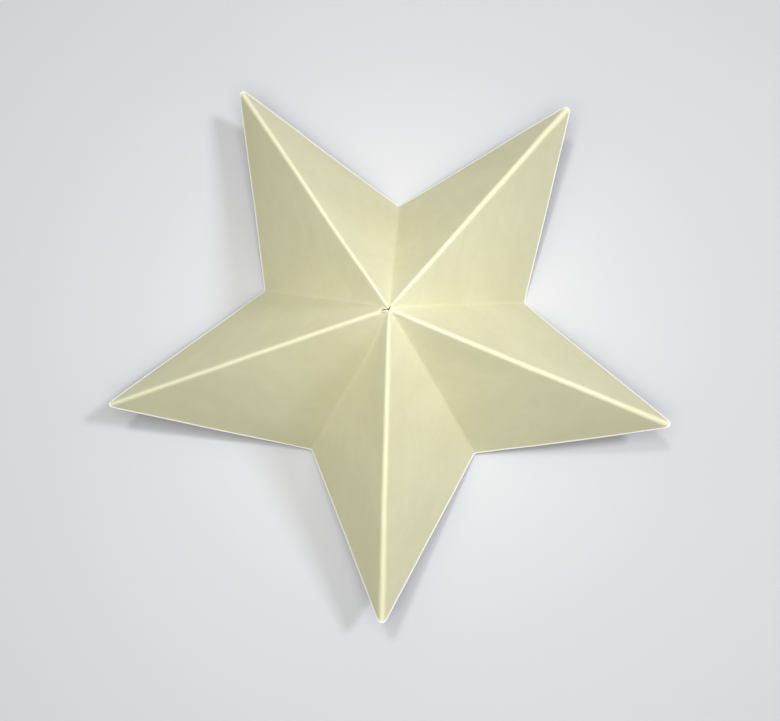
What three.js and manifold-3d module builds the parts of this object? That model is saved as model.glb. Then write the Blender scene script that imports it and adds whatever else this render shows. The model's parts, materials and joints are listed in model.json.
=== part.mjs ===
// A five-pointed star folded from one flat sheet of thick cream paper.
// Ten straight creases run from the middle of the sheet: a mountain crease to each point and a
// valley crease to each inner corner. They part the sheet into ten flat panels of equal angle.
// The star stands on its inner corners with the middle of the sheet up and its points in the air.
// Units are millimetres, +Z is up, and the middle of the star's footprint is the origin.

import * as THREE from 'three';
import { mergeVertices } from 'three/addons/utils/BufferGeometryUtils.js';
import Module from 'manifold-3d';

// ---- driving dimensions ----

const POINTS = 5;                // points of the star
const TIP_LENGTH = 76;           // middle of the sheet to a tip, along the mountain crease
const NOTCH_LENGTH = 61.5;       // middle of the sheet to an inner corner, along the valley crease
const RIDGE_SLOPE = 31.5;        // degrees that a mountain crease falls below level
const SHEET_THICKNESS = 0.25;    // thick drawing paper
const FOLD_WIDTH = 0.8;          // bent paper on each side of a crease, measured in the sheet
const FOLD_RADIUS = 0.18;        // the paper's rounding along a crease
const CENTRE_WEAR = 0.05;        // worn off each crease's end, beyond where it would meet the others
const TIP_BLUNT = 0.4;           // what the scissors take off each sharp tip
const CLEARANCE = 0.3;           // between a panel and the folded strip beside it
const FIRST_AZIMUTH = 270;       // degrees: the first point's direction, seen from above

// Degrees that each hand-made mountain crease is off an even fifth of a turn, counter-clockwise.
const HAND_TURN = [0.5, 1, 0.5, -1.5, -0.5];

// ---- what follows from them ----

const SECTOR = THREE.MathUtils.degToRad(360 / (2 * POINTS));   // a panel's angle in the flat sheet
const RIDGE_END = TIP_LENGTH - TIP_BLUNT;                      // where a mountain crease ends
const ROUND_STEPS = 16;                                        // sides of the rounding along a crease

const PAPER = {
  panel: { color: '#e6e2c3', roughness: 0.82, metalness: 0 },
  ridge: { color: '#f7f3da', roughness: 0.7, metalness: 0 },
  valley: { color: '#efebcf', roughness: 0.78, metalness: 0 },
};

const wasm = await Module();
wasm.setup();

// ---- directions of the creases ----

function mountainDirection(index) {
  const azimuth = THREE.MathUtils.degToRad(FIRST_AZIMUTH + (360 / POINTS) * index + HAND_TURN[index]);
  const fall = THREE.MathUtils.degToRad(RIDGE_SLOPE);
  return new THREE.Vector3(
    Math.cos(azimuth) * Math.cos(fall),
    Math.sin(azimuth) * Math.cos(fall),
    -Math.sin(fall),
  );
}

// A valley crease makes the sector's angle with the mountain crease on each side of it, because the
// sheet doesn't stretch. Of the two directions that do, it takes the lower one.
function valleyDirection(before, after) {
  const share = Math.cos(SECTOR) / (1 + before.dot(after));
  const between = before.clone().add(after).multiplyScalar(share);
  const across = before.clone().cross(after).normalize();
  if (across.z > 0) across.negate();
  return between.addScaledVector(across, Math.sqrt(1 - between.lengthSq()));
}

// ---- flat outlines, as points in the sheet with the middle of the star at (0, 0) ----

// Keeps the part of a convex outline on the side of a line that its normal points to.
function cutOutline(outline, onLine, normal) {
  const height = (p) => p.clone().sub(onLine).dot(normal);
  const kept = [];
  outline.forEach((p, i) => {
    const q = outline[(i + 1) % outline.length];
    const hp = height(p);
    const hq = height(q);
    if (hp >= 0) kept.push(p);
    if ((hp > 0 && hq < 0) || (hp < 0 && hq > 0)) kept.push(p.clone().lerp(q, hp / (hp - hq)));
  });
  return kept;
}

function fromAngle(angle, length = 1) {
  return new THREE.Vector2(length * Math.cos(angle), length * Math.sin(angle));
}

// One sector of the cut sheet, with its mountain crease along +X and its valley crease at the
// sector's angle. The line between their ends is the scissors' cut.
function sectorOutline() {
  const corners = [new THREE.Vector2(0, 0), fromAngle(0, TIP_LENGTH), fromAngle(SECTOR, NOTCH_LENGTH)];
  return cutOutline(corners, fromAngle(0, RIDGE_END), new THREE.Vector2(-1, 0));
}

// The flat panel: the sector without the folded strips along its two creases.
function panelOutline() {
  const setBack = FOLD_WIDTH + CLEARANCE;
  const intoSector = fromAngle(Math.PI / 2);
  const offValley = fromAngle(SECTOR - Math.PI / 2);
  const offRidge = cutOutline(sectorOutline(), intoSector.clone().multiplyScalar(setBack), intoSector);
  return cutOutline(offRidge, offValley.clone().multiplyScalar(setBack), offValley);
}

// One side of a folded strip, with the crease along +X and the strip on the +Y side. Near the middle
// it narrows, to leave room for the strip of the sector's other crease, and it ends at start.
function stripOutline(sector, start) {
  const inward = fromAngle(-Math.PI / 2);
  const half = SECTOR / 2;
  const towardCrease = fromAngle(half - Math.PI / 2);
  const wide = cutOutline(sector, new THREE.Vector2(0, FOLD_WIDTH), inward);
  const shared = cutOutline(wide, towardCrease.clone().multiplyScalar(CLEARANCE / 2), towardCrease);
  return cutOutline(shared, new THREE.Vector2(start, 0), new THREE.Vector2(1, 0));
}

// The sector turned over, so that its valley crease is the one along +X.
function turnedOver(outline) {
  return outline.map((p) => fromAngle(SECTOR - p.angle(), p.length())).reverse();
}

// ---- solids ----

function plate(outline) {
  const options = { depth: SHEET_THICKNESS, bevelEnabled: false };
  const solid = new THREE.ExtrudeGeometry(new THREE.Shape(outline), options);
  return solid.translate(0, 0, -SHEET_THICKNESS / 2);
}

function toManifold(geometry) {
  geometry.deleteAttribute('normal');
  geometry.deleteAttribute('uv');
  const merged = mergeVertices(geometry);
  return new wasm.Manifold(new wasm.Mesh({
    numProp: 3,
    vertProperties: new Float32Array(merged.attributes.position.array),
    triVerts: new Uint32Array(merged.index.array),
  }));
}

function toGeometry(solid) {
  const mesh = solid.getMesh();
  const geometry = new THREE.BufferGeometry();
  geometry.setAttribute('position', new THREE.BufferAttribute(new Float32Array(mesh.vertProperties), 3));
  geometry.setIndex(new THREE.BufferAttribute(new Uint32Array(mesh.triVerts), 1));
  geometry.computeVertexNormals();
  return geometry;
}

// The bent strip along a crease that lies along +X: one side slopes off on each hand, and a round
// joins them. lean is how far each side is turned below level, and is negative in a valley.
function foldedStrip(outline, start, end, lean) {
  const left = plate(outline).rotateX(-lean);
  const right = plate(outline).rotateX(Math.PI + lean);
  const round = new THREE.CylinderGeometry(FOLD_RADIUS, FOLD_RADIUS, end - start, ROUND_STEPS)
    .rotateZ(Math.PI / 2)
    .translate((start + end) / 2, 0, 0);
  return toGeometry(toManifold(left).add(toManifold(right)).add(toManifold(round)));
}

// ---- placing ----

// Turns a mesh so that its X lies along the crease and its Z along up, square to the crease.
function alongCrease(mesh, crease, up) {
  const side = up.clone().cross(crease).normalize();
  mesh.setRotationFromMatrix(new THREE.Matrix4().makeBasis(crease, side, crease.clone().cross(side)));
  return mesh;
}

function paperMesh(name, geometry, look) {
  const mesh = new THREE.Mesh(geometry, new THREE.MeshStandardMaterial(PAPER[look]));
  mesh.name = name;
  return mesh;
}

// The flat panel between a mountain crease and the valley crease beside it.
function panel(name, mountain, valley) {
  const mesh = paperMesh(name, plate(panelOutline()), 'panel');
  const up = mountain.clone().cross(valley).normalize();
  return alongCrease(mesh, mountain, up);
}

// Half the turn between the panels that meet at a crease, above zero at a mountain.
function halfFold(crease, before, after) {
  const rightFace = before.clone().cross(crease).normalize();
  const leftFace = crease.clone().cross(after).normalize();
  const turn = rightFace.clone().cross(leftFace).dot(crease);
  return -Math.atan2(turn, rightFace.dot(leftFace)) / 2;
}

// How far from the middle the rounding of a crease is clear of the rounding of every other crease.
function clearOfOthers(crease, creases) {
  const angles = creases.filter((other) => other !== crease).map((other) => crease.angleTo(other));
  return (FOLD_RADIUS + CLEARANCE / 2) / Math.sin(Math.min(...angles) / 2);
}

// The bent strip along a crease, between the creases before and after it, counted counter-clockwise.
// sector is the flat sector with this crease along +X, and end is how far out the crease ends.
function strip(name, look, crease, before, after, sector, end) {
  const start = clearOfOthers(crease, [...mountains, ...valleys]) + CENTRE_WEAR;
  const geometry = foldedStrip(stripOutline(sector, start), start, end, halfFold(crease, before, after));
  const rightFace = before.clone().cross(crease).normalize();
  const leftFace = crease.clone().cross(after).normalize();
  return alongCrease(paperMesh(name, geometry, look), crease, rightFace.add(leftFace).normalize());
}

// ---- the star ----

const mountains = Array.from({ length: POINTS }, (_, i) => mountainDirection(i));
const valleys = mountains.map((m, i) => valleyDirection(m, mountains[(i + 1) % POINTS]));

const flat = sectorOutline();
const turned = turnedOver(flat);
const star = new THREE.Group();
mountains.forEach((mountain, i) => {
  const number = i + 1;
  const next = (i + 1) % POINTS;
  const valleyBefore = valleys[(i + POINTS - 1) % POINTS];
  const valleyAfter = valleys[i];
  const ridgeName = `ridge_fold_${number}`;
  const valleyName = `valley_fold_${number}_${next + 1}`;
  star.add(
    panel(`point_${number}_panel_a`, mountain, valleyBefore),
    panel(`point_${number}_panel_b`, mountain, valleyAfter),
    strip(ridgeName, 'ridge', mountain, valleyBefore, valleyAfter, flat, RIDGE_END),
    strip(valleyName, 'valley', valleyAfter, mountain, mountains[next], turned, NOTCH_LENGTH),
  );
});

// The star is set down so that the middle of its footprint is the origin.
star.updateMatrixWorld(true);
const extent = new THREE.Box3().setFromObject(star, true);
const middle = extent.getCenter(new THREE.Vector3());
star.position.set(-middle.x, -middle.y, -extent.min.z);

export default star;
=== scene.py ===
"""A five-pointed star folded from one flat sheet of thick cream paper.

The sheet is laid out flat as a pentagon, with a mountain crease to each point and a valley crease
to each inner corner, and every spot on it is then placed on the folded star. In the flat sheet a
spot is given by rho, its distance from the middle, and psi, its angle counter-clockwise from crest
1. The ten creases are counted in that order too: crest 1 is 0, the dip from 1 to 2 is 1, crest 2
is 2 and so on. Lengths are in millimetres and angles in degrees until a mesh or a light is made."""

import json
import math

import bpy
import numpy as np
from mathutils import Euler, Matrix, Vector


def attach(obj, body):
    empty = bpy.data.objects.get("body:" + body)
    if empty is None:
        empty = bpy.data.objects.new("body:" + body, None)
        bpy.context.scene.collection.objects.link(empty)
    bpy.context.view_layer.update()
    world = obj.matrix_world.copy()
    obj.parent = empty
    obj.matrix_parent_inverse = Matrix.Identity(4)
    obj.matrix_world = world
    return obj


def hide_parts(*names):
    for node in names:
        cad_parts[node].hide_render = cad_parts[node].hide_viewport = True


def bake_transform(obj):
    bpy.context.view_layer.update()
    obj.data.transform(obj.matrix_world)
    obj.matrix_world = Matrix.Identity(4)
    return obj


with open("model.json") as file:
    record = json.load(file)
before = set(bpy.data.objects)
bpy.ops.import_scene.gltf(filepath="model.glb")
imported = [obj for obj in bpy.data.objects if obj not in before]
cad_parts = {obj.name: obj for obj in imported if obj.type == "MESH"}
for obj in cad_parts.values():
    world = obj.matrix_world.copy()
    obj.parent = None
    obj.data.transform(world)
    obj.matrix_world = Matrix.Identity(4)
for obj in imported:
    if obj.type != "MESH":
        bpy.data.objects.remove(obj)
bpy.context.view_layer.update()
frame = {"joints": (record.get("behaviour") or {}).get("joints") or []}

MM = 0.001

# ---- the sheet ----

POINTS = 5
SECTOR = 180 / POINTS            # between one crease and the next, in the flat sheet
TIP_LENGTH = 76.0                # middle to a tip
NOTCH_LENGTH = 61.5              # middle to an inner corner
THICKNESS = 0.25

# What the hand-held scissors and the hand-made folds changed, point by point: how much longer
# each crease is, how far it is turned about the upright axis, and how the folds strayed.
TIP_EXTRA = (0.8, 1.2, 0.9, 1.7, 2.4)
TIP_TURN = (-0.3, 0.5, -0.1, 0.25, -0.47)
NOTCH_EXTRA = (-0.1, -0.1, -0.3, -0.2, -0.2)
NOTCH_TURN = (-0.3, -1.9, 0.9, 2.2, 2.6)
NOTCH_BEND = (0.0, 0.94, 0.94, 0.32, 0.43)   # how far the end of each valley crease bows inward
SWAY = (0, 0, -0.25, 0, 0, 0, 0, -0.3, 0, 1.0)   # how far each crease in turn strays to one side
SWAY_PLACE = 18.0                            # and how far along it
MIDDLE_SHIFT = (0.13, -0.34, 0.0)            # where the creases really meet
MIDDLE_SHIFT_REACH = 35.0
MIDDLE_SINK = 0.35               # the crushed paper at the very middle lies this much lower
MIDDLE_SINK_REACH = 1.3

TIP_BLUNT = 0.7                  # the paper that is missing from each sharp corner
TIP_ROUNDING = 0.22
CUT_BURR = 0.12                  # how far the scissors turned up the cut edge
CUT_BURR_WIDTH = 0.5
BURR_LIMIT = 1.2                 # its most, as a share, where a point is past the edge

# The tiny hole where the ten creases wore through: its radius, the height, waves round the hole
# and phase of its ragged edge, and its bulges: how far, towards which psi and how wide. The last
# bulge is a slit.
HOLE_RADIUS = 0.40
HOLE_RAGS = ((0.05, 7, 40), (0.04, 13, 0))
HOLE_BULGES = ((1.25, 154, 22), (0.3, -30, 30), (1.9, -84, 17))

# The second, missed folds: a long one clockwise from crest 5 and a short one counter-clockwise
# from crest 2. Each has its distance beside the crest, its width and its depth.
LONG_MARK_CREST, LONG_MARK_BESIDE, LONG_MARK_WIDTH, LONG_MARK_DEPTH = 8, 0.95, 0.22, 0.085
LONG_MARK_START, LONG_MARK_FADE = 34, 3
SHORT_MARK_CREST, SHORT_MARK_BESIDE, SHORT_MARK_WIDTH, SHORT_MARK_DEPTH = 2, 0.62, 0.18, 0.08
SHORT_MARK_PLACE, SHORT_MARK_LENGTH = 3.4, 2.0

# Small unevenness of the folded sheet: how many waves, the shortest and longest, and their
# height. The waves die out near the middle, where the crumpled paper takes over.
RANDOM_SEED = 11
SLOW_WAVES = (14, 30, 70, 0.16)
QUICK_WAVES = (16, 7, 14, 0.03)
CRUMPLE_WAVES = (16, 0.9, 2.4, 0.09)
CALM_REACH = 9.0
TORN_REACH = 3.2

# Half the width of the bent paper along each crest in turn and along a dip, at the middle of the
# sheet and as far out as a tip. The hand did not press every crest equally hard.
CREST_HALF = ((0.7, 2.1), (0.66, 1.6), (0.66, 1.85), (0.56, 1.4), (0.8, 0.85))
DIP_HALF = (0.5, 0.8)
CREASE_SPREAD = 0.28             # as a share of the distance from the middle, where creases crowd

# Half the width of the piece of sheet that holds a crease, which has to hold the bent paper.
CREST_PIECE = 2.4
DIP_PIECE = 2.4
PIECE_ANGLE = 17.3               # the most that such a piece may take of a sector
OPEN_CREASE = 5                  # the crease where the chain of joints is open, from point 3 to 4
TONGUE = 0.25                    # how far the sheet runs on past it from each side, thinning out
TONGUE_END = 0.98                # how much of its squared thickness is gone at its end
TONGUE_STEP = 0.1                # the share of its thickness that goes at once, so that it lies
TONGUE_STEP_WIDTH = 0.05         # inside the sheet of the other side

# Half the width of the strip to each side of a crease, measured straight across, that hinge()
# takes.
CREST_HINGE = 0.6
DIP_HINGE = 0.6

ROWS = 120                       # from the middle to the edge
ROW_SPACING = (0.1, 2.5, -1.6)   # a cubic from 0 to 1 that crowds the rows at both ends
FACE_COLUMNS = 22
CREASE_COLUMNS = 20              # on each side of a crease
COLUMN_CROWDING = 1.3            # how much they crowd towards the crease
RIM_STEPS = (50, 0, -50)         # round the thickness of the paper's edge
RIM_BULGE = 0.8                  # as a share of half the thickness
SLOPE_STEP = 0.03                # how far to each side of a spot its slope is measured
RIM_STEP = 0.04                  # and how far along an edge its direction
SETTLE_START, SETTLE_ROUNDS = 30.0, 12   # for finding where a slanting line meets an outline
CREASE_SNAP = 1e-9               # so that a spot on a crease counts to the sector after it


def crease_direction(joint):
    """The unit vector of a crease, from the middle of the star outward."""
    axis = np.array(joint["axis"], float)
    axis /= np.linalg.norm(axis)
    return axis if axis[2] < 0 else -axis


def turned(vector, degrees):
    """A vector turned about the upright axis."""
    c, s = math.cos(math.radians(degrees)), math.sin(math.radians(degrees))
    return np.array([c * vector[0] - s * vector[1], s * vector[0] + c * vector[1], vector[2]])


def lower_between(a, b):
    """The lower of the two directions that make a sector's angle with both a and b."""
    middle = (a + b) * math.cos(math.radians(SECTOR)) / (1 + a @ b)
    across = np.cross(a, b)
    across /= np.linalg.norm(across)
    across *= -np.sign(across[2])
    return middle + across * math.sqrt(1 - middle @ middle)


JOINTS = {joint["name"]: joint for joint in frame["joints"]}
MIDDLE = np.array(JOINTS["ridge_2_crease"]["pos_m"], float) / MM

crests = [turned(crease_direction(JOINTS[name]), turn) for name, turn in zip(
    ("ridge_1_crease_b", "ridge_2_crease", "ridge_3_crease", "ridge_4_crease", "ridge_5_crease"),
    TIP_TURN)]
dips = [turned(lower_between(crests[n], crests[(n + 1) % POINTS]), NOTCH_TURN[n])
        for n in range(POINTS)]

# The directions and lengths of the ten creases in turn.
LINES = np.array([line for pair in zip(crests, dips) for line in pair])
COUNT = len(LINES)
LENGTHS = np.array([length for n in range(POINTS) for length in
                    (TIP_LENGTH + TIP_EXTRA[n], NOTCH_LENGTH + NOTCH_EXTRA[n])])


def unit(v):
    """Vectors brought to a length of 1."""
    return v / np.linalg.norm(v, axis=-1, keepdims=True)


NEXT = np.roll(LINES, -1, axis=0)
FACE_NORMALS = unit(np.cross(LINES, NEXT))
OPENING = np.arccos((LINES * NEXT).sum(1))                     # each sector's true angle, radians
CREASE_NORMALS = unit(FACE_NORMALS + np.roll(FACE_NORMALS, 1, axis=0))
FALL = np.sqrt(1 - (FACE_NORMALS * CREASE_NORMALS).sum(1) ** 2)   # sine of half the fold
IS_CREST = np.arange(COUNT) % 2 == 0
ACROSS = unit(np.cross(CREASE_NORMALS, LINES))                 # square to each crease, level


# ---- small unevenness of the hand-folded sheet ----

rng = np.random.default_rng(RANDOM_SEED)


def ripple_set(count, shortest, longest, height):
    """Random waves: their wave vectors, the ways that they push the paper, and their phases."""
    waves = unit(rng.normal(size=(count, 3)))
    waves *= 2 * math.pi / rng.uniform(shortest, longest, (count, 1))
    pushes = unit(rng.normal(size=(count, 3))) * height / math.sqrt(count)
    return waves, pushes, rng.uniform(0, 2 * math.pi, count)


SLOW = ripple_set(*SLOW_WAVES)
QUICK = ripple_set(*QUICK_WAVES)
CRUMPLE = ripple_set(*CRUMPLE_WAVES)


def push(points, ripples):
    """How far the waves push each point."""
    waves, pushes, phases = ripples
    return np.sin(points @ waves.T + phases) @ pushes


def bump_of(x, middle, width):
    """A smooth bump with a height of 1."""
    return np.exp(-(((x - middle) / width) ** 2))


# ---- the cut edge and the worn middle, as distances from the middle in the flat sheet ----

def sector_of(psi):
    """Which sector an angle in the sheet is in, and how far through it, from 0 to 1."""
    whole = np.floor(psi / SECTOR + CREASE_SNAP)
    return whole.astype(int) % COUNT, psi / SECTOR - whole


def edge_distance(psi):
    """The distance of the cut edge, with its blunted tips."""
    k, part = sector_of(psi)
    a, b = LENGTHS[k], LENGTHS[(k + 1) % COUNT]
    phi = part * OPENING[k]
    line = a * b * np.sin(OPENING[k]) / (b * np.sin(OPENING[k] - phi) + a * np.sin(phi))
    on_crest = np.where(k % 2 == 0, a, b)
    from_crest = np.where(k % 2 == 0, phi, OPENING[k] - phi)
    blunt = (on_crest - TIP_BLUNT) / np.cos(from_crest)
    least = np.minimum(line, blunt)
    return least - TIP_ROUNDING * np.log(np.exp((least - line) / TIP_ROUNDING)
                                         + np.exp((least - blunt) / TIP_ROUNDING))


def apart(psi, other):
    """The angle from one direction to another, between -180 and 180."""
    return (psi - other + 180) % 360 - 180


def hole_distance(psi):
    """The distance of the edge of the ragged hole in the middle."""
    ragged = sum(height * np.sin(np.radians(waves * psi + phase))
                 for height, waves, phase in HOLE_RAGS)
    bulges = sum(far * bump_of(apart(psi, towards), 0, width)
                 for far, towards, width in HOLE_BULGES)
    return HOLE_RADIUS + ragged + bulges


# ---- the folded surface ----

def crease_half(index, rho):
    """Half the width of the bent paper at a distance along a crease."""
    near, far = CREST_HALF[index // 2] if IS_CREST[index] else DIP_HALF
    wanted = near + (far - near) * rho / TIP_LENGTH
    # The smaller of the two, with a smooth change between them.
    return (wanted ** -4 + (CREASE_SPREAD * rho) ** -4) ** -0.25


def flattened(index, rho, distance):
    """How far the bent paper lies from the sharp fold, before the fold's steepness."""
    half = crease_half(index, rho)
    return half * (1 - np.clip(distance / half, 0, 1)) ** 2 / 2


def score_marks(rho, psi):
    """The depth of the second, missed folds beside two of the crests."""
    before_crest = np.radians(LONG_MARK_CREST * SECTOR - psi) * rho
    after_crest = np.radians(psi - SHORT_MARK_CREST * SECTOR) * rho
    long_mark = bump_of(before_crest, LONG_MARK_BESIDE, LONG_MARK_WIDTH)
    long_mark /= 1 + np.exp((LONG_MARK_START - rho) / LONG_MARK_FADE)
    short_mark = bump_of(after_crest, SHORT_MARK_BESIDE, SHORT_MARK_WIDTH)
    short_mark *= bump_of(rho, SHORT_MARK_PLACE, SHORT_MARK_LENGTH)
    return LONG_MARK_DEPTH * long_mark + SHORT_MARK_DEPTH * short_mark


def middle_surface(rho, psi):
    """Points in the middle of the paper's thickness, on the folded star."""
    k, part = sector_of(psi)
    after = (k + 1) % COUNT
    phi = part * OPENING[k]
    spread = np.sin(OPENING[k])[..., None]
    along = (LINES[k] * np.sin(OPENING[k] - phi)[..., None]
             + LINES[after] * np.sin(phi)[..., None]) / spread
    points = rho[..., None] * along
    # Each crease rounds the sharp fold on both its sides, and takes the faces along as it strays.
    for index in range(COUNT):
        sign = -1 if IS_CREST[index] else 1
        bend = 0 if IS_CREST[index] else NOTCH_BEND[index // 2] * (rho / NOTCH_LENGTH) ** 2
        stray = SWAY[index] * (rho / SWAY_PLACE * np.exp(1 - rho / SWAY_PLACE)) ** 2
        for chosen, distance, near in (
                (k == index, rho * np.sin(phi), 1 - part),
                (after == index, rho * np.sin(OPENING[k] - phi), part)):
            near = near ** 2 * (3 - 2 * near)
            lift = sign * FALL[index] * flattened(index, rho, distance)
            lift = np.where(chosen, lift - bend * near, 0)
            points = points + lift[..., None] * CREASE_NORMALS[index]
            points = points + np.where(chosen, stray * near, 0)[..., None] * ACROSS[index]
    points = points + np.exp(-rho / MIDDLE_SHIFT_REACH)[..., None] * np.array(MIDDLE_SHIFT)
    points[..., 2] -= MIDDLE_SINK * np.exp(-rho / MIDDLE_SINK_REACH)
    calm = (1 - np.exp(-rho / CALM_REACH))[..., None]
    torn = bump_of(rho, 0, TORN_REACH)[..., None]
    points = (points + push(points, SLOW) * calm + push(points, QUICK) * calm
              + push(points, CRUMPLE) * torn)
    from_cut = edge_distance(psi) - rho
    burr = CUT_BURR * np.clip(1 - from_cut / CUT_BURR_WIDTH, 0, BURR_LIMIT) ** 2
    points += (burr - score_marks(rho, psi))[..., None] * FACE_NORMALS[k]
    return MIDDLE + points


def slope(rho, psi, step_rho, step_psi):
    """The direction in which the surface runs on from a spot."""
    ahead = middle_surface(rho + step_rho, psi + step_psi)
    return unit(ahead - middle_surface(rho - step_rho, psi - step_psi))


def surface(rho, psi):
    """Points in the middle of the thickness, and the paper's normals there."""
    # A step across the sheet is about as long as a step away from the middle.
    outward = slope(rho, psi, SLOPE_STEP, 0)
    sideways = slope(rho, psi, 0, np.degrees(SLOPE_STEP / rho))
    return middle_surface(rho, psi), unit(np.cross(outward, sideways))


# ---- pieces of the sheet ----

# A line from the middle to the edge is a function that gives psi for each rho.

def border(index, side):
    """The line between a crease's piece and the face on one side of it."""
    width = CREST_PIECE if IS_CREST[index] else DIP_PIECE
    widening = math.sin(math.radians(PIECE_ANGLE))
    return lambda rho: index * SECTOR + side * PIECE_ANGLE * (1 - np.exp(-width / (rho * widening)))


def crease_line(index):
    """The line of a crease itself."""
    return lambda rho: np.full_like(rho, index * SECTOR)


def past_open_crease(side):
    """A line just past the open crease, where a tongue of the sheet ends."""
    return lambda rho: OPEN_CREASE * SECTOR + side * np.degrees(TONGUE / (rho + 1))


def settle(low, high, q, distance):
    """Where lines that run from the middle at shares q of a piece's width meet an outline."""
    rho = np.full_like(q, SETTLE_START)
    for _ in range(SETTLE_ROUNDS):
        rho = distance(low(rho) + q * (high(rho) - low(rho)))
    return rho


def grid(low, high, q):
    """Distances from the middle and angles of a piece's points, a column for each q."""
    start = settle(low, high, q, hole_distance)
    end = settle(low, high, q, edge_distance)
    u = np.linspace(0, 1, ROWS + 1)[:, None]
    rows = ROW_SPACING[0] * u + ROW_SPACING[1] * u ** 2 + ROW_SPACING[2] * u ** 3
    rho = start + (end - start) * rows
    psi = low(rho) + q * (high(rho) - low(rho))
    return rho, psi


def rim(rho, psi, half, distance, outward):
    """The points and normals round the thickness of an edge, from the upper side to the lower."""
    middle, normal = surface(rho, psi)
    step = np.degrees(RIM_STEP / rho)
    before, after = psi - step, psi + step
    tangent = unit(middle_surface(distance(after), after)
                   - middle_surface(distance(before), before))
    out = np.cross(tangent, normal) * outward
    points, normals = [], []
    for angle in RIM_STEPS:
        c, s = math.cos(math.radians(angle)), math.sin(math.radians(angle))
        square_c, square_s = c ** 0.5, math.copysign(abs(s) ** 0.5, s)
        points.append(middle + half * (square_s * normal + RIM_BULGE * square_c * out))
        normals.append(s * normal + c * out)
    return points, normals


# The pieces made so far, by the slot that they take their finish from.
pieces = {"paper_panel": [], "paper_ridge": [], "paper_valley": []}


def paper_piece(name, low, high, shares, slot, tongue=0):
    """A closed piece of the sheet between two lines from the middle to the edge. A tongue of 1 or
    -1 is the side on which it thins out past the open crease."""
    rho, psi = grid(low, high, np.array(shares, float))
    middle, normal = surface(rho, psi)
    past = np.maximum(tongue * np.radians(psi - OPEN_CREASE * SECTOR) * rho, 0)
    half = THICKNESS / 2 * np.sqrt(1 - (past / TONGUE) ** 2 * TONGUE_END)
    half *= 1 - TONGUE_STEP * np.minimum(past / TONGUE_STEP_WIDTH, 1)
    upper, lower = middle + normal * half[..., None], middle - normal * half[..., None]
    edge_points, edge_normals = rim(rho[-1], psi[-1], half[-1][:, None], edge_distance, 1)
    hole_points, hole_normals = rim(rho[0], psi[0], half[0][:, None], hole_distance, -1)

    # Each column is a loop: out along the upper side, round the edge, back below, round the hole.
    loop = np.array([*upper, *edge_points, *lower[::-1], *hole_points[::-1]])
    normals = np.array([*normal, *edge_normals, *-normal[::-1], *hole_normals[::-1]])
    size, columns = loop.shape[:2]
    rows, rims = ROWS + 1, len(RIM_STEPS)

    def over(values):
        """Values of the upper side's rows, for the whole loop."""
        return np.array([*values, *[values[-1]] * rims, *values[::-1], *[values[0]] * rims])

    k, part = sector_of(psi)
    first = np.abs(np.sin(part * OPENING[k])) * rho
    second = np.abs(np.sin((1 - part) * OPENING[k])) * rho
    from_crest = np.where(k % 2 == 0, first, second)
    from_dip = np.where(k % 2 == 0, second, first)
    side = np.concatenate([np.ones(rows), np.zeros(rims), -np.ones(rows), np.zeros(rims)])
    fields = {
        "flat_x": over(rho * np.cos(np.radians(psi))),
        "flat_y": over(rho * np.sin(np.radians(psi))),
        "from_middle": over(rho),
        "from_crest": over(from_crest),
        "from_dip": over(from_dip),
        "from_cut": over(edge_distance(psi) - rho),
        "side": np.repeat(side[:, None], columns, axis=1),
    }

    faces = []
    for c in range(columns - 1):
        for i in range(size):
            j = (i + 1) % size
            faces.append((i * columns + c, j * columns + c,
                          j * columns + c + 1, i * columns + c + 1))
    walls = len(faces)
    # The walls through the thickness, where the piece meets its neighbours.
    for c, turn in ((0, 1), (columns - 1, -1)):
        at = [i * columns + c for i in range(size)]
        below = at[rows + rims:2 * rows + rims][::-1]
        for r in range(ROWS):
            faces.append((at[r], below[r], below[r + 1], at[r + 1])[::turn])
        edge_end = [at[ROWS], *at[rows:rows + rims], below[ROWS]]
        hole_end = [below[0], *at[2 * rows + rims:], at[0]]
        faces.append(edge_end[::-turn])
        faces.append(hole_end[::-turn])

    mesh = bpy.data.meshes.new(name)
    mesh.from_pydata((loop.reshape(-1, 3) * MM).tolist(), [], faces)
    mesh.shade_smooth()
    for polygon in mesh.polygons[walls:]:
        polygon.use_smooth = False
    for field, values in fields.items():
        attribute = mesh.attributes.new(field, "FLOAT", "POINT")
        attribute.data.foreach_set("value", values.astype(np.float32).ravel())
    mesh.validate()
    mesh.normals_split_custom_set_from_vertices(unit(normals).reshape(-1, 3).tolist())
    piece = bpy.data.objects.new(name, mesh)
    bpy.context.scene.collection.objects.link(piece)
    pieces[slot].append(piece)
    return piece


# The shares of a piece's width at which its columns stand: for a crease's piece on either side of
# the crease or on both, for a face, and for the face that reaches the open crease.
HALF_AFTER = (np.arange(CREASE_COLUMNS + 1) / CREASE_COLUMNS) ** COLUMN_CROWDING
HALF_BEFORE = 1 - HALF_AFTER[::-1]
WHOLE = np.concatenate([0.5 - HALF_AFTER[:0:-1] / 2, 0.5 + HALF_AFTER / 2])
EVEN = np.linspace(0, 1, FACE_COLUMNS + 1)
NEAR_OPEN = 0.1
FROM_OPEN = np.concatenate([HALF_AFTER * NEAR_OPEN, np.linspace(NEAR_OPEN, 1, FACE_COLUMNS)[1:]])


def hinge(index, width):
    """The points before, on and after a crease, the width to each side of it, in metres."""
    return [tuple((MIDDLE + side * width * ACROSS[index]) * MM) for side in (-1, 0, 1)]


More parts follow.
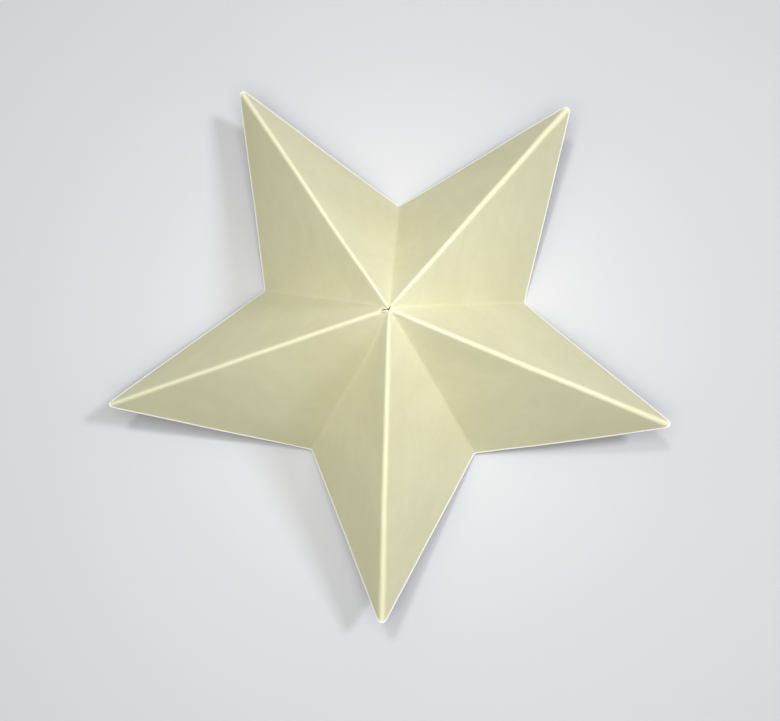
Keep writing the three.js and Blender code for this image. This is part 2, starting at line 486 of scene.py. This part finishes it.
for n in range(1, POINTS + 1):
    crest, dip_before, dip_after = 2 * n - 2, 2 * n - 3, 2 * n - 1
    following = n % POINTS + 1

    # The two faces of the point. The sheet is shown whole, so the face next to the open crease
    # reaches that crease itself.
    if dip_before == OPEN_CREASE:
        low, shares, tongue = past_open_crease(-1), FROM_OPEN, -1
    else:
        low, shares, tongue = border(dip_before, 1), EVEN, 0
    face = paper_piece(f"face_{n}a", low, border(crest, -1), shares, "paper_panel", tongue)
    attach(face, f"panel_{n}a")
    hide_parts(f"point_{n}_panel_a")
    face = paper_piece(f"face_{n}b", border(crest, 1), border(dip_after, -1), EVEN, "paper_panel")
    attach(face, f"panel_{n}b")
    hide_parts(f"point_{n}_panel_b")

    # The crest. The first one is where the chain of joints starts, so it is in two halves that meet
    # on the crease line.
    left, on, right = hinge(crest, CREST_HINGE)
    if n == 1:
        half = paper_piece("crest_1a", border(crest, -1), crease_line(crest), HALF_BEFORE,
                           "paper_ridge")
        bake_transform(half)
        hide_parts("ridge_fold_1")
        half = paper_piece("crest_1b", crease_line(crest), border(crest, 1), HALF_AFTER,
                           "paper_ridge")
        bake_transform(half)
        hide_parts("ridge_fold_1")
    else:
        whole = paper_piece(f"crest_{n}", border(crest, -1), border(crest, 1), WHOLE,
                            "paper_ridge")
        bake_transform(whole)
        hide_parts(f"ridge_fold_{n}")

    # The dip between this point and the following one.
    left, on, right = hinge(dip_after, DIP_HINGE)
    name, node = f"dip_{n}_{following}", f"valley_fold_{n}_{following}"
    if dip_after == OPEN_CREASE:
        half = paper_piece(name, border(dip_after, -1), past_open_crease(1), HALF_BEFORE,
                           "paper_valley", 1)
        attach(half, f"panel_{n}b")
        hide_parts(node)
    else:
        whole = paper_piece(name, border(dip_after, -1), border(dip_after, 1), WHOLE,
                            "paper_valley")
        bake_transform(whole)
        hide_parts(node)


# ---- materials ----

class Wire:
    """A value in a material. Arithmetic on it adds the Math nodes."""

    def __init__(self, finish, socket):
        self.finish, self.socket = finish, socket

    def maths(self, operation, first, second):
        return self.finish.node("ShaderNodeMath", {"operation": operation}, {0: first, 1: second})

    def __add__(self, other):
        return self.maths("ADD", self, other)

    __radd__ = __add__

    def __sub__(self, other):
        return self.maths("SUBTRACT", self, other)

    def __rsub__(self, other):
        return self.maths("SUBTRACT", other, self)

    def __mul__(self, other):
        return self.maths("MULTIPLY", self, other)

    __rmul__ = __mul__

    def fade(self, start, end):
        """1 below start and 0 above end, smoothly between them, or the reverse."""
        return self.finish.node(
            "ShaderNodeMapRange", {"interpolation_type": "SMOOTHSTEP"},
            {"Value": self, "From Min": start, "From Max": end, "To Min": 1.0, "To Max": 0.0})


class Finish:
    """A material, and the means to build its nodes."""

    def __init__(self, name):
        self.material = bpy.data.materials.new(name)
        self.material.use_nodes = True
        self.tree = self.material.node_tree
        self.tree.nodes.clear()

    def node(self, kind, settings=None, sockets=None, output=0):
        made = self.tree.nodes.new(kind)
        for key, value in (settings or {}).items():
            setattr(made, key, value)
        for key, value in (sockets or {}).items():
            if isinstance(value, Wire):
                self.tree.links.new(value.socket, made.inputs[key])
            else:
                made.inputs[key].default_value = value
        return Wire(self, made.outputs[output]) if len(made.outputs) else None

    def field(self, name):
        return self.node("ShaderNodeAttribute", {"attribute_name": name}, output="Fac")

    def blend(self, mask, low, high):
        """A colour from low where the mask is 0 to high where it is 1."""
        low, high = ((*c, 1.0) if isinstance(c, tuple) else c for c in (low, high))
        return self.node("ShaderNodeMix", {"data_type": "RGBA"}, {0: mask, 6: low, 7: high},
                         output=2)

    def grain(self, place, scale, detail, roughness=0.5):
        return self.node("ShaderNodeTexNoise", None,
                         {"Vector": place, "Scale": scale, "Detail": detail,
                          "Roughness": roughness})


CREAM = (0.80, 0.78, 0.50)
PALE_CREAM = (0.88, 0.85, 0.575)
DEEP_CREAM = (0.72, 0.69, 0.41)
# Painted shade: the darker cream that the paper is blended towards at the points.
PAINTED_TIP_SHADE_CREAM = (0.56, 0.545, 0.35)
# Partly the raw fibres of the cut, partly painted highlight along the cut edge.
RAW_FIBRE_AND_HIGHLIGHT = (0.90, 0.90, 0.87)

# The patterns in the paper: how many to a millimetre, their detail and their roughness.
CLOUDS = (0.055, 3.0, 0.55)
FORMATION = (0.45, 3.0, 0.6)
STREAKS = (0.35, 3.0, 0.6)
FIBRES = (2.6, 3.0, 0.7)
FELT = (3.4, 4.0, 0.65)
COCKLE = (0.6, 2.0, 0.5)
SIDES_APART = 5.0                # so that the two sides of the sheet don't look alike
STREAK_STRETCH, STREAK_LEAN, STREAK_SLANT = 0.12, 0.05, 0.1   # how they run across the sheet

# How much each pattern shows in the tone, and its height in the relief.
CLOUD_TONE, FORMATION_TONE, STREAK_TONE, FIBRE_TONE = 1.2, 0.4, 0.35, 0.2
TONE_RANGE = (0.2, 0.8)
TONE_CALM = 0.6                  # how far the tone is drawn to plain cream
FELT_HEIGHT, COCKLE_HEIGHT, FIBRE_HEIGHT = 0.014, 0.03, 0.008
RELIEF = 0.35
ROUGHNESS, FIBRE_ROUGHNESS, WORN_SMOOTHNESS = 0.78, 0.16, 0.1

# Where the paper's colour changes, as the distances from a line or the middle over which each
# change fades out, and how strong it is. Some of these changes are painted shade and painted light,
# as marked.
# Painted shade: darker towards the points, fading in from 10 to 80 mm from the middle.
PAINTED_TIP_SHADE_FADE, PAINTED_TIP_SHADE = (80, 10), 0.4
# Painted light: paler towards the middle, fading out by 20 mm from it.
MIDDLE_FADE, MIDDLE_PAINTED_LIGHT = (2, 20), 0.45
# Partly whitening of the folded paper, partly painted highlight along the crests.
CREST_FADE, CREST_PALE = (0.25, 1.4), 0.75
DIP_FADE, DIP_PALE = (0.0, 0.9), 0.06
# The band by the cut is partly raw fibres, partly painted highlight.
CUT_FADE, CUT_RAW_AND_HIGHLIGHT, CUT_FIBRES = (0.12, 0.55), 0.5, 0.7
EDGE_FADE, EDGE_RAW = (8, 4), 0.95
SKIN_FADE = (0.5, 0.98)          # from the middle of the thickness, 0, to the sides, 1


def paper_finish(name):
    """Thick drawing paper: cloudy cream stock with a felt surface, whiter where it was folded or
    cut, partly as painted highlight along the crests and cut edges. Painted shade darkens it
    towards the points and painted light brightens it towards the middle. The lines of the folds and
    cuts come from the sheet's own distances."""
    f = Finish(name)
    x, y = f.field("flat_x"), f.field("flat_y")
    side = f.field("side")
    depth = side * SIDES_APART
    place = f.node("ShaderNodeCombineXYZ", None, {"X": x, "Y": y, "Z": depth})
    streak_place = f.node("ShaderNodeCombineXYZ", None,
                          {"X": x * STREAK_STRETCH + y * STREAK_LEAN,
                           "Y": y - x * STREAK_SLANT, "Z": depth})

    clouds, formation = f.grain(place, *CLOUDS), f.grain(place, *FORMATION)
    streaks, fibres = f.grain(streak_place, *STREAKS), f.grain(place, *FIBRES)
    tone = (0.5 + (clouds - 0.5) * CLOUD_TONE + (formation - 0.5) * FORMATION_TONE
            + (streaks - 0.5) * STREAK_TONE + (fibres - 0.5) * FIBRE_TONE)
    colour = f.blend(tone.fade(*TONE_RANGE), DEEP_CREAM, PALE_CREAM)
    colour = f.blend(TONE_CALM, colour, CREAM)
    from_middle = f.field("from_middle")
    # Painted shade: the paper is darkened towards the points.
    colour = f.blend(from_middle.fade(*PAINTED_TIP_SHADE_FADE) * PAINTED_TIP_SHADE, colour, PAINTED_TIP_SHADE_CREAM)
    # Painted light: the paper is brightened towards the middle.
    colour = f.blend(from_middle.fade(*MIDDLE_FADE) * MIDDLE_PAINTED_LIGHT, colour, PALE_CREAM)

    # Partly whitening and wear of the folded paper, partly painted highlight along the crests.
    crest_wear_and_highlight = f.field("from_crest").fade(*CREST_FADE) * CREST_PALE
    soft = f.field("from_dip").fade(*DIP_FADE) * DIP_PALE
    colour = f.blend(crest_wear_and_highlight + soft, colour, PALE_CREAM)

    # Partly raw fibres, partly painted highlight within half a millimetre of the cut.
    cut_fibres_and_highlight = f.field("from_cut").fade(*CUT_FADE) * (CUT_RAW_AND_HIGHLIGHT + fibres * CUT_FIBRES)
    colour = f.blend(cut_fibres_and_highlight, colour, RAW_FIBRE_AND_HIGHLIGHT)
    # The thickness of the cut edge, but not of the dirty hole in the middle.
    # Partly raw fibres, partly painted highlight on the thickness of the cut edge.
    edge = f.node("ShaderNodeMath", {"operation": "ABSOLUTE"}, {0: side}).fade(*SKIN_FADE)
    colour = f.blend(edge * from_middle.fade(*EDGE_FADE) * EDGE_RAW, colour, RAW_FIBRE_AND_HIGHLIGHT)

    felt, cockle = f.grain(place, *FELT), f.grain(place, *COCKLE)
    height = felt * FELT_HEIGHT + cockle * COCKLE_HEIGHT + fibres * FIBRE_HEIGHT
    bump = f.node("ShaderNodeBump", None,
                  {"Strength": RELIEF, "Distance": MM, "Height": height})
    roughness = ROUGHNESS + (fibres - 0.5) * FIBRE_ROUGHNESS - crest_wear_and_highlight * WORN_SMOOTHNESS

    shader = f.node("ShaderNodeBsdfPrincipled", None, {
        "Base Color": colour, "Roughness": roughness, "Normal": bump,
        "Specular IOR Level": 0.3, "Sheen Weight": 0.06, "Sheen Roughness": 0.5,
    })
    f.node("ShaderNodeOutputMaterial", None, {"Surface": shader})
    return f.material


FINISHES = {
    "paper_panel": paper_finish("cream_paper"),
    "paper_ridge": paper_finish("cream_paper_crest"),
    "paper_valley": paper_finish("cream_paper_dip"),
}
for slot_name, members in pieces.items():
    for piece in members:
        piece.data.materials.append(FINISHES[slot_name])

# ---- floor, light and camera ----

FLOOR_HALF = 1500.0
FLOOR_COLOUR = (0.56, 0.565, 0.575)
FLOOR_LIGHTER = 1.02
FLOOR_CLOUDS = 14.0              # to a metre


def floor_finish():
    f = Finish("floor_card")
    cloud = f.grain(f.node("ShaderNodeTexCoord", output="Object"), FLOOR_CLOUDS, 3.0)
    lighter = tuple(c * FLOOR_LIGHTER for c in FLOOR_COLOUR)
    colour = f.blend(cloud, FLOOR_COLOUR, lighter)
    shader = f.node("ShaderNodeBsdfPrincipled", None, {
        "Base Color": colour, "Roughness": 0.9, "Specular IOR Level": 0.1})
    f.node("ShaderNodeOutputMaterial", None, {"Surface": shader})
    return f.material


floor_mesh = bpy.data.meshes.new("floor")
reach = FLOOR_HALF * MM
floor_mesh.from_pydata([(-reach, -reach, 0), (reach, -reach, 0), (reach, reach, 0),
                        (-reach, reach, 0)], [], [(0, 1, 2, 3)])
floor = bpy.data.objects.new("floor", floor_mesh)
floor_mesh.materials.append(floor_finish())
bpy.context.scene.collection.objects.link(floor)


def soft_box(name, azimuth, from_overhead, distance, size, watts, colour=(1, 1, 1)):
    """A square lamp that faces the star from a compass angle and an angle off the vertical."""
    a, z = math.radians(azimuth), math.radians(from_overhead)
    direction = Vector((math.sin(z) * math.cos(a), math.sin(z) * math.sin(a), math.cos(z)))
    data = bpy.data.lights.new(name, "AREA")
    data.size, data.energy, data.color = size * MM, watts, colour
    lamp = bpy.data.objects.new(name, data)
    lamp.location = direction * distance * MM
    lamp.rotation_mode = "QUATERNION"
    lamp.rotation_quaternion = direction.to_track_quat("Z", "Y")
    bpy.context.scene.collection.objects.link(lamp)


soft_box("overhead_lamp", azimuth=114, from_overhead=23, distance=1000, size=110, watts=2.25,
         colour=(1, 1, 0.96))
soft_box("side_lamp", azimuth=22, from_overhead=36, distance=1000, size=140, watts=3.8,
         colour=(1, 1, 1.13))
soft_box("top_lamp", azimuth=264, from_overhead=5, distance=350, size=230, watts=1.06)

AMBIENT = 0.03
world = bpy.data.worlds.new("studio")
world.use_nodes = True
world.node_tree.nodes["Background"].inputs["Color"].default_value = (1.0, 1.0, 1.0, 1.0)
world.node_tree.nodes["Background"].inputs["Strength"].default_value = AMBIENT
bpy.context.scene.world = world
bpy.context.scene.view_settings.view_transform = "Standard"

CAMERA_PLACE = (6.62, -21.17, 254.32)
CAMERA_TURN = (4.798, 1.48, 2.51)
camera_data = bpy.data.cameras.new("camera")
camera_data.lens, camera_data.sensor_width = 50, 36
camera_data.clip_start, camera_data.clip_end = 0.01, 20
camera = bpy.data.objects.new("camera", camera_data)
camera.location = Vector(CAMERA_PLACE) * MM
camera.rotation_euler = Euler([math.radians(a) for a in CAMERA_TURN])
bpy.context.scene.collection.objects.link(camera)
bpy.context.scene.camera = camera
